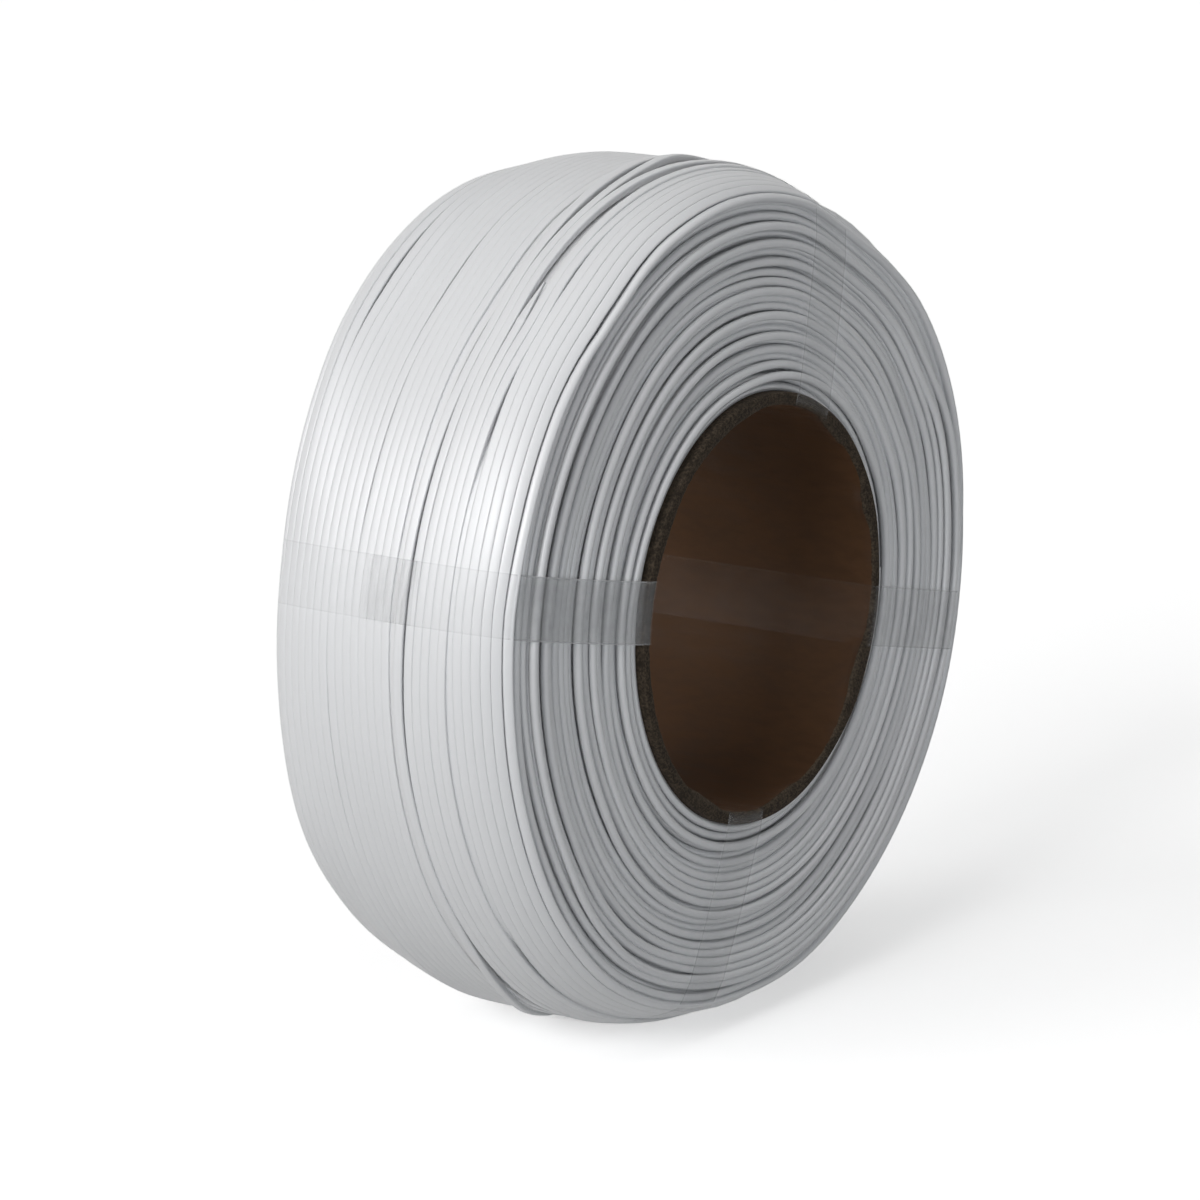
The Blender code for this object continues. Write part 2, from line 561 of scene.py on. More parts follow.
TOP_SINK = 1.4
BOTTOM_SINK = 1.0
COVER_EDGE = 0.95
COVER_RUN = 0.5
DISH = 1.3
END_WORN = 1.0
CORE_REACH = 1.3
END_RISE = (
    (0, 0.0),
    (124, 2.1),
    (131, 2.0),
    (145, 1.85),
    (160, 1.766),
    (270, 1.766),
    (290, 1.9),
    (310, 3.0),
    (335, 5.5),
    (360, 7.064),
)


def through(points, at):
    """A smooth curve through a few points, read at many places."""
    xs, ys = np.array(points, float).T
    slopes = np.diff(ys) / np.diff(xs)
    bend = np.concatenate([slopes[:1], (slopes[:-1] + slopes[1:]) / 2, slopes[-1:]])
    turning = np.concatenate([[False], slopes[:-1] * slopes[1:] <= 0, [False]])
    bend[turning] = 0
    at = np.clip(at, xs[0], xs[-1])
    piece = np.clip(np.searchsorted(xs, at) - 1, 0, len(slopes) - 1)
    run = xs[piece + 1] - xs[piece]
    t = (at - xs[piece]) / run
    start = (2 * t**3 - 3 * t**2 + 1) * ys[piece] + (t**3 - 2 * t**2 + t) * run * bend[piece]
    end = (3 * t**2 - 2 * t**3) * ys[piece + 1] + (t**3 - t**2) * run * bend[piece + 1]
    return start + end


def eased(value):
    """A smooth step from 0 to 1."""
    value = np.clip(value, 0, 1)
    return value * value * (3 - 2 * value)


def soft_noise(draws, count, step):
    """Smooth noise with one random value for each step samples."""
    values = draws.normal(size=int(count / step) + 3)
    place = np.arange(count) / step
    left = place.astype(int)
    share = place - left
    share = share * share * (3 - 2 * share)
    return values[left] * (1 - share) + values[left + 1] * share


def taut(radius, climb=CLIMB):
    """Radii of a strand that is too stiff to climb faster than a set step."""
    held = radius.copy()
    for i in range(1, len(held)):
        held[i] = max(held[i], held[i - 1] - climb)
    for i in range(len(held) - 2, -1, -1):
        held[i] = max(held[i], held[i + 1] - climb)
    weights = np.array([1.0, 2.0, 3.0, 2.0, 1.0])
    return np.convolve(np.pad(held, 2, mode="edge"), weights / weights.sum(), "valid")


def degrees_at(index):
    """Degrees round the axis of samples, which run backwards as the strand is laid."""
    return (-index % SAMPLES) * 360.0 / SAMPLES


class Winding:
    """One strand laid turn on turn: its place along the axis and its radius, in millimetres."""

    def __init__(self, thread, bare):
        self.thread = thread
        self.bare = bare
        room = SAMPLES * 34 * (FULL_LAYERS + 3)
        self.along = np.zeros(room)
        self.radius = np.zeros(room)
        self.layer = np.zeros(room, int)
        self.count = 0

    def resting(self, along):
        """Radii at which new samples lie on the turns below them."""
        count = len(along)
        lie = np.full(count, self.bare + self.thread / 2)
        turns = min(REACH_BACK, (self.count + count - 1) // SAMPLES)
        if turns:
            below = self.count + np.arange(count) - SAMPLES * np.arange(1, turns + 1)[:, None]
            there = below >= 0
            below = np.where(there, below, 0)
            rise = self.thread**2 - (along - self.along[below]) ** 2
            top = self.radius[below] + np.sqrt(np.maximum(rise, 0))
            lie = np.maximum(lie, np.where(there & (rise > 0), top, 0).max(axis=0))
        return lie

    def lay(self, along, layer):
        """Lay up to one turn of new samples."""
        end = self.count + len(along)
        self.radius[self.count : end] = taut(self.resting(along))
        self.along[self.count : end] = along
        self.layer[self.count : end] = layer
        self.count = end

    def angles(self):
        """Degrees round the axis of the samples of the next turn."""
        return degrees_at(self.count + np.arange(SAMPLES))

    def close(self):
        """Trim the arrays, even out the joins between turns and settle the coil to its outer shape."""
        self.along = self.along[: self.count]
        self.layer = self.layer[: self.count]
        self.radius = taut(self.radius[: self.count])
        degrees = degrees_at(np.arange(self.count))
        stretch = self.stretch(degrees)
        share = np.clip((self.radius - self.bare) / (COIL_RADIUS - self.bare), 0, 1)
        oval = 1 + OVAL * 4 * share * (1 - share) * np.cos(2 * np.radians(degrees - OVAL_AT))
        self.radius = (self.bare + (self.radius - self.bare) * stretch) * oval
        skin = self.layer == FULL_LAYERS - 1
        self.radius[skin] = outer_shape(self.along[skin], degrees[skin]) - self.thread / 2
        self.radius -= TOP_STEP * share * covered(self.along, degrees, self.thread * 1.004)
        top = self.layer == FULL_LAYERS
        sink = np.where(degrees < 180, TOP_SINK, BOTTOM_SINK)
        self.radius -= sink * top * eased((self.along + 5) / 4)
        begun = eased((np.cumsum(top) - 1) / TOP_CROSSING)
        flush = outer_shape(self.along, degrees) - self.thread / 2
        crossing = flush + (self.radius - flush) * begun - 3.6 * self.thread * begun * (1 - begun)
        self.radius = np.where(top, crossing, self.radius)
        near_front = eased((-20 - self.along) / 4)
        self.along = self.along - DISH * near_front * eased((62 - self.radius) / 18)
        self.radius -= END_WORN * near_front * eased((47.5 - self.radius) / 3)
        depth = np.maximum(-np.sin(np.radians(degrees)), 0.1)
        self.radius = np.minimum(self.radius, (-FLOOR_HEIGHT / MM - self.thread / 2) / depth)

    def stretch(self, degrees):
        """How far each sample moves outward so that the coil's surface has its measured shape."""
        rows = np.arange(-29.0, 28.5, 1.0)
        columns = 72
        surface = np.zeros((len(rows), columns))
        tall = (self.layer > FULL_LAYERS - 9) & (self.layer < FULL_LAYERS)
        row = np.clip(np.round(self.along[tall] + 29).astype(int), 0, len(rows) - 1)
        column = (degrees[tall] / 5).astype(int) % columns
        for aside in (-1, 0, 1):
            place = np.clip(row + aside, 0, len(rows) - 1)
            height = self.radius[tall] + self.thread / 2 - 0.45 * abs(aside)
            np.maximum.at(surface, (place, column), height)
        surface[0:2] = surface[2]
        surface[-2:] = surface[-3]
        surface = blurred(blurred(surface, 1, 0), 1, 1)
        wanted = outer_shape(rows[:, None], (np.arange(columns) * 5 + 2.5)[None, :])
        ratio = (wanted - self.bare) / (surface - self.bare)
        along = np.clip(self.along + 29, 0, len(rows) - 1.001)
        around = (degrees / 5 - 0.5) % columns
        i, j = along.astype(int), around.astype(int)
        u, v = along - i, around - j
        k = (j + 1) % columns
        low = ratio[i, j] * (1 - v) + ratio[i, k] * v
        high = ratio[i + 1, j] * (1 - v) + ratio[i + 1, k] * v
        return low * (1 - u) + high * u


def blurred(field, reach, axis):
    """A field evened out along one axis, which closes on itself if it is the second."""
    weights = np.exp(-0.5 * (np.arange(-2 * reach, 2 * reach + 1) / reach) ** 2)
    weights /= weights.sum()
    total = np.zeros_like(field)
    for step, weight in zip(range(-2 * reach, 2 * reach + 1), weights):
        if axis:
            total += weight * np.roll(field, step, axis=1)
        else:
            place = np.clip(np.arange(len(field)) + step, 0, len(field) - 1)
            total += weight * field[place]
    return total


def outer_shape(along, degrees):
    """Radius of the coil's surface: rounded shoulders, a little uneven round the rim, in millimetres."""
    front = np.clip((FRONT_FACE / MM + FRONT_RUN - along) / FRONT_RUN, 0, 1)
    back = np.clip((along - BACK_FACE / MM + BACK_RUN) / BACK_RUN, 0, 1)
    radius = COIL_RADIUS - FRONT_DROP * (1 - (1 - front**ROUNDNESS) ** (1 / ROUNDNESS))
    radius = radius - BACK_DROP * (1 - (1 - back**ROUNDNESS) ** (1 / ROUNDNESS))
    radius = radius + through(FRONT_RIM, degrees) * np.clip((-6 - along) / 14, 0, 1)
    return radius + through(BACK_RIM, degrees) * np.clip((along - 15) / 8, 0, 1)


def covered(along, degrees, pitch):
    """How far the layer on top covers a place, from 0 to 1: it lies in a bed as deep as a strand."""
    edge = TOP_START - pitch * degrees / 360 + through(SWING, degrees)
    edge = edge - pitch * eased((TOP_BEGINS - degrees) / TOP_BEGINS)
    return eased((along - edge + COVER_EDGE) / COVER_RUN) * eased((-1 - along) / 6)


def slit_width(along, degrees):
    """Extra room left beside a strand where a slit shows in the outer layer."""
    width = np.zeros(len(along))
    for middle, first, last, most in SLITS:
        window = np.clip((degrees - first) / 12, 0, 1) * np.clip((last - degrees) / 12, 0, 1)
        width += most * window * np.exp(-(((along - middle) / 0.8) ** 2))
    return width


def lay_full_layers(winding, draws):
    """Wind the layers that run from edge to edge."""
    thread = winding.thread
    front = FRONT_FACE / MM + thread / 2
    back = BACK_FACE / MM - thread / 2
    looseness = soft_noise(draws, SAMPLES * 34 * (FULL_LAYERS + 3), SAMPLES * 0.21)
    now = front
    for layer in range(FULL_LAYERS):
        sign = -1 if (FULL_LAYERS - 1 - layer) % 2 == 0 else 1
        edge = FRONT_EDGES.get(layer, front) if sign < 0 else BACK_EDGES.get(layer, back)
        shy = max(draws.uniform(-0.5, 0.8), -0.4) * thread
        stop = edge if layer >= FULL_LAYERS - 3 else edge - sign * shy
        last_full = layer == FULL_LAYERS - 1
        turn = 0
        while True:
            degrees = winding.angles()
            loose = looseness[winding.count : winding.count + SAMPLES]
            if turn == 0:
                path = now + sign * thread * 1.01 * (np.arange(SAMPLES) + 1) / SAMPLES
            else:
                path = winding.along[winding.count - SAMPLES : winding.count].copy()
                if last_full:
                    room = 0.012 * np.clip(loose, 0, 1) + slit_width(path, degrees)
                else:
                    room = np.clip(0.05 * loose, 0, 1) + 0.5 * np.clip(loose - 1.7, 0, 1)
                path += sign * (thread * 1.004 + room)
            past = sign * (path - stop) > 0
            if last_full:
                past &= np.abs(degrees - TOP_BEGINS) < 1.3
            count = max(int(np.argmax(past)), 1) if past.any() else SAMPLES
            winding.lay(np.clip(path[:count], front, back), layer)
            turn += 1
            if count < SAMPLES:
                break
        if last_full:
            break
        pause = int(SAMPLES * draws.uniform(0.1, 0.8))
        winding.lay(np.full(pause, winding.along[winding.count - 1]), layer)
        now = winding.along[winding.count - 1]


def lay_top_layer(winding):
    """Wind the layer on top: tight turns, three looser ones and the free end laid between them.

    Each of these turns runs from 360 degrees down to 0, and sways with the ones beside it.
    """
    pitch = winding.thread * 1.004
    begin = winding.count % SAMPLES
    start_along = winding.along[winding.count - 1]
    turns = TOP_TURNS + 4
    total = turns * SAMPLES + int((360 - END_AT) / 360 * SAMPLES) - begin
    index = begin + np.arange(total)
    turn = index // SAMPLES
    degrees = 360.0 - (index % SAMPLES) * 360.0 / SAMPLES
    path = TOP_START + pitch * (index / SAMPLES - TOP_TURNS)
    sway = through(SWING, degrees)
    path += sway
    past = turn - TOP_TURNS
    path += (past >= 1) * through(CHANNEL, degrees)
    path += (past >= 2) * through(SECOND_GAP, degrees)
    path += (past >= 3) * through(LAST_GAP, degrees)
    ending = past == 4
    level = TOP_START + pitch * (360 - degrees) / 360
    path[ending] = (level + sway + through(END_RISE, degrees))[ending]
    path = start_along + (path - start_along) * eased(np.arange(total) / TOP_CROSSING)
    for begin in range(0, total, SAMPLES):
        winding.lay(path[begin : begin + SAMPLES], FULL_LAYERS)


def wound_strand(thread):
    """The whole winding, laid from the bare tube outwards."""
    winding = Winding(thread / MM, TUBE_RADIUS / MM)
    draws = np.random.default_rng(SEED)
    lay_full_layers(winding, draws)
    lay_top_layer(winding)
    winding.close()
    return winding


LAID = {}


def current_winding(settings):
    """The winding for the present strand diameter, laid once."""
    thread = round(settings.diameter, 6)
    if thread not in LAID:
        LAID[thread] = wound_strand(thread)
    return LAID[thread]


def add_piece(name, mesh, finishes, replaced=()):
    """Put a mesh into the scene as a piece that rides on the CAD body."""
    piece = bpy.data.objects.new(name, mesh)
    bpy.context.scene.collection.objects.link(piece)
    for finish in finishes:
        mesh.materials.append(finish)
    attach(piece, BODY)
    if replaced:
        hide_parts(*replaced)
    return piece


def mesh_of(name, points, faces, smooth=True):
    """A mesh from points in metres and faces."""
    mesh = bpy.data.meshes.new(name)
    mesh.from_pydata(points.tolist(), [], faces)
    mesh.polygons.foreach_set("use_smooth", np.full(len(mesh.polygons), smooth))
    mesh.validate()
    mesh.update()
    return mesh


def strand_points(winding, first, last):
    """Points of a run of samples and the outward direction at each, in millimetres."""
    index = np.arange(first, last)
    angle = -index * 2 * np.pi / SAMPLES
    outward = np.stack([np.cos(angle), np.zeros(len(index)), np.sin(angle)], axis=1)
    points = outward * winding.radius[first:last, None]
    points[:, 1] = winding.along[first:last]
    return points, outward


def tube_round(points, outward, crown, depth, wide, sides):
    """Rings of points round a path: how far each reaches outward, inward and to the sides, in millimetres."""
    heading = np.gradient(points, axis=0)
    heading /= np.linalg.norm(heading, axis=1, keepdims=True)
    out = outward - heading * np.sum(outward * heading, axis=1, keepdims=True)
    out /= np.linalg.norm(out, axis=1, keepdims=True)
    side = np.cross(heading, out)
    turn = np.arange(sides) * 2 * np.pi / sides
    reach = np.where(np.cos(turn)[None, :] > 0, crown[:, None], depth[:, None]) * np.cos(turn)[None, :]
    ring = reach[:, :, None] * out[:, None, :]
    ring = ring + np.sin(turn)[None, :, None] * side[:, None, :] * wide[:, None, None]
    return points[:, None, :] + ring


NIP_LENGTH = 10.0


def with_cut_end(points, outward, crown, depth, wide, thread):
    """The last stretch of the strand in finer steps, nipped flat and drawn out to a point at its end."""
    stretch = 8
    finer = 10
    fine = np.linspace(0, stretch - 1, (stretch - 1) * finer + 1)
    coarse = np.arange(stretch)

    def refined(values):
        return np.stack([np.interp(fine, coarse, column) for column in values[-stretch:].T], axis=1)

    tail, out = refined(points), refined(outward)
    left = np.linalg.norm(tail - tail[-1], axis=1)
    nipped = eased((NIP_LENGTH - left) / NIP_LENGTH)
    burr = np.exp(-(((left - NIP_LENGTH) / 0.5) ** 2))
    tail_crown = np.interp(fine, coarse, crown[-stretch:]) * (1 - 0.5 * nipped) + 0.16 * burr
    tail_depth = np.interp(fine, coarse, depth[-stretch:]) * (1 - 0.6 * nipped)
    tail_wide = thread / 2 * (0.05 + 0.95 * np.clip(left / NIP_LENGTH, 0, 1) ** 0.8 + 0.10 * burr)
    tail = tail - out * (0.35 * nipped)[:, None]
    joined = [(points, tail), (outward, out), (crown, tail_crown), (depth, tail_depth), (wide, tail_wide)]
    return [np.concatenate([whole[:-stretch], end]) for whole, end in joined]


def strand_mesh(name, winding, runs, sides, pressed=0.0):
    """One mesh of all the visible runs of the strand, with closed ends.

    Where the turns lie side by side on the outside they are pressed a little flat against each other.
    """
    all_points = []
    faces = []
    offset = 0
    round_half = winding.thread / 2
    for first, last in runs:
        points, outward = strand_points(winding, first, last)
        flat = pressed * eased((points[:, 1] + 28) / 3.5) * eased((26.5 - points[:, 1]) / 3)
        degrees = degrees_at(np.arange(first, last))
        lean = outer_shape(points[:, 1] + 0.5, degrees) - outer_shape(points[:, 1] - 0.5, degrees)
        lean = np.clip(lean, -0.9, 0.9) * flat
        outward[:, 1] = -lean
        outward /= np.linalg.norm(outward, axis=1, keepdims=True)
        crown = round_half * (1 - 0.85 * flat)
        depth = 2 * round_half - crown
        wide = round_half * (1 + 0.07 * flat) * np.sqrt(1 + 0.7 * lean**2)
        points = points + outward * (round_half - crown)[:, None]
        if last == winding.count:
            whole = with_cut_end(points, outward, crown, depth, wide, winding.thread)
            points, outward, crown, depth, wide = whole
        rings = tube_round(points, outward, crown, depth, wide, sides)
        count = len(points)
        grid = offset + np.arange(count * sides).reshape(count, sides)
        turned = np.roll(grid, -1, axis=1)
        quads = np.stack([grid[:-1], turned[:-1], turned[1:], grid[1:]], axis=-1)
        faces.extend(quads.reshape(-1, 4).tolist())
        faces.append(grid[0][::-1].tolist())
        faces.append(grid[-1].tolist())
        all_points.append(rings.reshape(-1, 3))
        offset += count * sides
    points = np.concatenate(all_points) * MM
    points[:, 2] = np.maximum(points[:, 2], FLOOR_HEIGHT)
    return mesh_of(name, points, faces)


def runs_of(chosen, least=6, spare=3):
    """First and last sample of each unbroken run that is chosen, with a little to spare."""
    padded = np.concatenate([[False], chosen, [False]])
    edges = np.flatnonzero(padded[1:] != padded[:-1])
    runs = []
    for first, last in zip(edges[::2], edges[1::2]):
        first = max(first - spare, 0)
        last = min(last + spare, len(chosen))
        if runs and first <= runs[-1][1]:
            runs[-1] = (runs[-1][0], last)
        elif last - first >= least:
            runs.append((first, last))
    return runs


FACE_DEPTH = 3.3


def visible_groups(winding):
    """Which samples show on the outside, on the front face and on the back face."""
    along, layer = winding.along, winding.layer
    top = FULL_LAYERS - 1
    shoulder = (layer == top - 1) & ((along < -18.5) | (along > 20.5))
    outer = (layer >= top) | shoulder
    under = (layer >= top - 4) & (along < -17)
    front = ~outer & (under | (along < FRONT_FACE / MM + winding.thread / 2 + FACE_DEPTH))
    back = ~outer & (along > BACK_FACE / MM - winding.thread / 2 - FACE_DEPTH)
    return {"outer": outer, "front": front, "back": back}


def bulk_mesh(winding):
    """The turns that lie under the visible ones, as a ribbed ring."""
    thread = winding.thread
    front = FRONT_FACE / MM + FACE_DEPTH + 0.4
    back = BACK_FACE / MM - FACE_DEPTH - 0.4
    inner = winding.bare + 0.2
    outer = OUTER_CENTRE - 1.55 * thread
    radial = int((outer - inner) / thread)
    axial = int((back - front) / thread)
    profile = []
    for i in range(radial * 4):
        share = i / (radial * 4)
        profile.append((front - 0.4 * abs(math.sin(share * radial * math.pi)), inner + share * (outer - inner)))
    for i in range(axial * 4):
        share = i / (axial * 4)
        profile.append((front + share * (back - front), outer + 0.4 * abs(math.sin(share * axial * math.pi))))
    for i in range(radial * 4):
        share = i / (radial * 4)
        profile.append((back + 0.4 * abs(math.sin(share * radial * math.pi)), outer - share * (outer - inner)))
    profile.append((back, inner))
    steps = 72
    profile = np.array(profile)
    angle = np.arange(steps) * 2 * np.pi / steps
    points = np.stack(
        [
            np.outer(np.cos(angle), profile[:, 1]),
            np.broadcast_to(profile[:, 0], (steps, len(profile))),
            np.outer(np.sin(angle), profile[:, 1]),
        ],
        axis=-1,
    ).reshape(-1, 3)
    grid = np.arange(steps * len(profile)).reshape(steps, len(profile))
    after = np.roll(grid, -1, axis=0)
    up = np.roll(grid, -1, axis=1)
    quads = np.stack([grid, up, np.roll(after, -1, axis=1), after], axis=-1)
    return mesh_of("strand_bulk", points * MM, quads.reshape(-1, 4).tolist())


def shared_finish(name, make, settings):
    """A material that several pieces wear, made once."""
    return bpy.data.materials.get(name) or make(settings)


class COIL_OT_winding(bpy.types.Operator):
    """Lay the strand and build the turns that show"""

    bl_idname = "coil.winding"
    bl_label = "Wound strand"

    def execute(self, context):
        settings = context.scene.coil_strand
        winding = current_winding(settings)
        finish = shared_finish("silky_filament", strand_finish, settings)
        groups = visible_groups(winding)
        outer = strand_mesh("strand_outer_turns", winding, runs_of(groups["outer"]), 14, 1.0)
        add_piece("strand_outer_turns", outer, [finish], ["filament_outer_layer"])
        for side in ("front", "back"):
            name = f"strand_{side}_turns"
            mesh = strand_mesh(name, winding, runs_of(groups[side]), 8)
            add_piece(name, mesh, [finish])
        bulk = bulk_mesh(winding)
        add_piece("strand_bulk", bulk, [finish], ["filament_pack"])
        return {"FINISHED"}


def wobble(draws, terms):
    """A smooth random function of the angle and of one more place."""
    kinds = [(draws.integers(1, 14), draws.uniform(-0.4, 0.4), draws.uniform(0, 6.28), draws.uniform(0.3, 1)) for _ in range(terms)]
    total = sum(kind[3] for kind in kinds)

    def value(angle, place):
        return sum(size * np.cos(times * angle + slope * place + phase) for times, slope, phase, size in kinds) / total

    return value


STRAP_ANGLES = {"upper": (70.0, 67.0), "left": (169.0, 170.0), "lower": (256.0, 260.0), "right": (347.0, 347.0)}


RIM_DENTS = (
    (0, 0.0),
    (13, 0.1),
    (21, 1.1),
    (29, 0.1),
    (42, 0.0),
    (48, 0.9),
    (56, 0.8),
    (62, 0.0),
    (86, 0.0),
    (99, 0.4),
    (115, 0.5),
    (131, 0.0),
    (149, 0.5),
    (161, 0.0),
    (228, 0.0),
    (235, 0.8),
    (243, 0.7),
    (250, 0.0),
    (267, 0.0),
    (275, 0.6),
    (282, 0.9),
    (290, 0.2),
    (297, 0.0),
    (316, 0.1),
    (323, 1.0),
    (328, 1.9),
    (336, 1.6),
    (342, 0.4),
    (349, 0.0),
    (360, 0.0),
)
DENT_DEPTH = 2.6


def core_mesh(settings):
    """The paper tube: a smooth bore, plies at its cut ends and a rim bruised where the straps pull; its outer face
    wears the rough cut finish, whose darker colour there is painted shade.
    """
    draws = np.random.default_rng(11)
    bore = settings.bore / 2 / MM
    outside = TUBE_RADIUS / MM - END_WORN
    back = TUBE_HALF_LENGTH / MM
    front = -back - CORE_REACH
    steps = 432
    angle = np.arange(steps) * 2 * np.pi / steps
    dent = through(RIM_DENTS, np.degrees(angle))
    uneven = wobble(draws, 9)
    ragged = wobble(draws, 16)
    frayed = np.abs(draws.normal(size=steps))
    frayed = (np.roll(frayed, 1) + 2 * frayed + np.roll(frayed, -1)) / 4
    plies = 7
    columns = []
    kinds = []
    for r in np.linspace(0, 1, plies * 3 + 1):
        ply = abs(math.sin(math.pi * plies * r))
        radius = outside + (bore - outside) * r
        lift = 0.10 * (1 - ply) + 0.22 * ragged(angle, r * 9) + 0.16 * frayed * r**4
        edge = 0.5 * (abs(2 * r - 1)) ** 5
        dented = radius - dent * r * r
        columns.append((dented + 0.16 * uneven(angle, r * 7), front + edge + np.maximum(lift, -0.1)))
        kinds.append(0.25 + 0.2 * ply + 0.55 * r**8)
    for share in np.linspace(0.02, 0.98, 25):
        depth = share * (back - front)
        rim = 1.3 * np.exp(-min(depth, back - front - depth) / 2.2)
        sink = 0.12 * uneven(angle, depth * 0.25)
        bruise = rim * np.maximum(ragged(angle, 3), -0.06) + 0.2 * rim * frayed
        dented = bore - dent * math.exp(-depth / DENT_DEPTH)
        columns.append((dented + sink + bruise, np.full(steps, front + depth)))
        kinds.append(0.5)
    for r in np.linspace(1, 0, plies * 3 + 1):
        ply = abs(math.sin(math.pi * plies * r))
        radius = outside + (bore - outside) * r
        lift = 0.10 * (1 - ply) + 0.22 * ragged(angle, 40 + r * 9) + 0.16 * frayed * r**4
        edge = 0.5 * (abs(2 * r - 1)) ** 5
        columns.append((radius + 0.16 * uneven(angle, 50 + r * 7), back - edge - np.maximum(lift, -0.1)))
        kinds.append(0.25 + 0.2 * ply + 0.55 * r**8)
    count = len(columns)
    points = np.zeros((count, steps, 3))
    for i, (radius, along) in enumerate(columns):
        points[i, :, 0] = radius * np.cos(angle)
        points[i, :, 1] = along
        points[i, :, 2] = radius * np.sin(angle)
    grid = np.arange(count * steps).reshape(count, steps)
    turned = np.roll(grid, -1, axis=1)
    after = np.roll(grid, -1, axis=0)
    quads = np.stack([grid, after, np.roll(after, -1, axis=1), turned], axis=-1).reshape(-1, 4)
    mesh = mesh_of("core_tube_paper", points.reshape(-1, 3) * MM, quads.tolist())
    ends = plies * 3
    row = np.repeat(np.arange(count), steps)
    # The cut finish covers both cut ends and the outer face (the last row); on the outer face its darker colour is
    # painted shade.
    cut_ends_and_shaded_outside = (row < ends) | (row >= ends + 26)
    mesh.polygons.foreach_set("material_index", cut_ends_and_shaded_outside.astype(np.int32))
    ply_values = mesh.attributes.new("ply", "FLOAT", "POINT")
    ply_values.data.foreach_set("value", np.repeat(np.array(kinds, np.float32), steps))
    return mesh


class COIL_OT_core(bpy.types.Operator):
    """Build the paper tube that carries the winding"""

    bl_idname = "coil.core"
    bl_label = "Paper core"

    def execute(self, context):
        settings = context.scene.coil_core
        finishes = [paper_finish(settings), cut_and_shaded_finish(settings)]
        add_piece("core_tube_paper", core_mesh(settings), finishes, ["core_tube"])
        return {"FINISHED"}


def outline_of(points):
    """Convex outline of points in a plane, anticlockwise."""
    points = points[np.lexsort((points[:, 1], points[:, 0]))]

    def half(chain):
        kept = []
        for p in chain:
            while len(kept) > 1:
                a, b = kept[-2], kept[-1]
                if (b[0] - a[0]) * (p[1] - a[1]) - (b[1] - a[1]) * (p[0] - a[0]) > 0:
                    break
                kept.pop()
            kept.append(p)
        return kept[:-1]

    listed = [tuple(p) for p in points]
    return np.array(half(listed) + half(listed[::-1]))


LAP_FROM = 3.6
LAP_TO = -7.6
FILM_GAP = 0.06
FILM_THICKNESS = 0.07
FILM_STEP = 0.55
STRAP_VEILS = {
    "upper": (0.3, 0.8, 0.8),
    "left": (0.25, 3.0, 1.6),
    "lower": (0.3, 1.0, 1.2),
    "right": (0.3, 1.6, 1.0),
}


def strap_angle(strap, radius):
    """Degrees round the axis of a strap's middle line at a radius, which leans a little on the faces."""
    rim, core = STRAP_ANGLES[strap]
    share = np.clip((radius - 43.0) / (OUTER_CENTRE - 43.0), 0, 1)
    return core + (rim - core) * share


def strap_section(winding, strap, aside):
    """The taut outline of the film over the turns and the tube, at one place across its width."""
    around = degrees_at(np.arange(winding.count))
    wanted = strap_angle(strap, winding.radius) + np.degrees(aside / winding.radius)
    near = np.abs((around - wanted + 180) % 360 - 180) <= 180.0 / SAMPLES
    centres = np.stack([winding.along[near], winding.radius[near]], axis=1)
    turn = np.arange(24) * 2 * np.pi / 24
    disc = np.stack([np.cos(turn), np.sin(turn)], axis=1) * (winding.thread / 2 + FILM_GAP)
    back = TUBE_HALF_LENGTH / MM + FILM_GAP
    front = -back - CORE_REACH
    corners = np.array([(front, 39.4), (back, 39.4), (front, 43.0), (back, 43.0)])
    outline = outline_of(np.concatenate([(centres[:, None] + disc[None]).reshape(-1, 2), corners]))
    return outline, centres


def walked(outline, step):
    """Places along a closed outline, from where it crosses LAP_FROM on the outside, and the outline's length."""
    closed = np.vstack([outline, outline[:1]])
    lengths = np.concatenate([[0], np.cumsum(np.linalg.norm(np.diff(closed, axis=0), axis=1))])
    count = int(round(lengths[-1] / step))
    fine = np.linspace(0, lengths[-1], 4000, endpoint=False)
    ys = np.interp(fine, lengths, closed[:, 0])
    rs = np.interp(fine, lengths, closed[:, 1])
    outside = rs > 70
    start = fine[outside][np.argmin(np.abs(ys[outside] - LAP_FROM))]
    places = (start + np.arange(count + 1) * lengths[-1] / count) % lengths[-1]
    points = np.stack([np.interp(places, lengths, closed[:, 0]), np.interp(places, lengths, closed[:, 1])], axis=1)
    return points, lengths[-1]


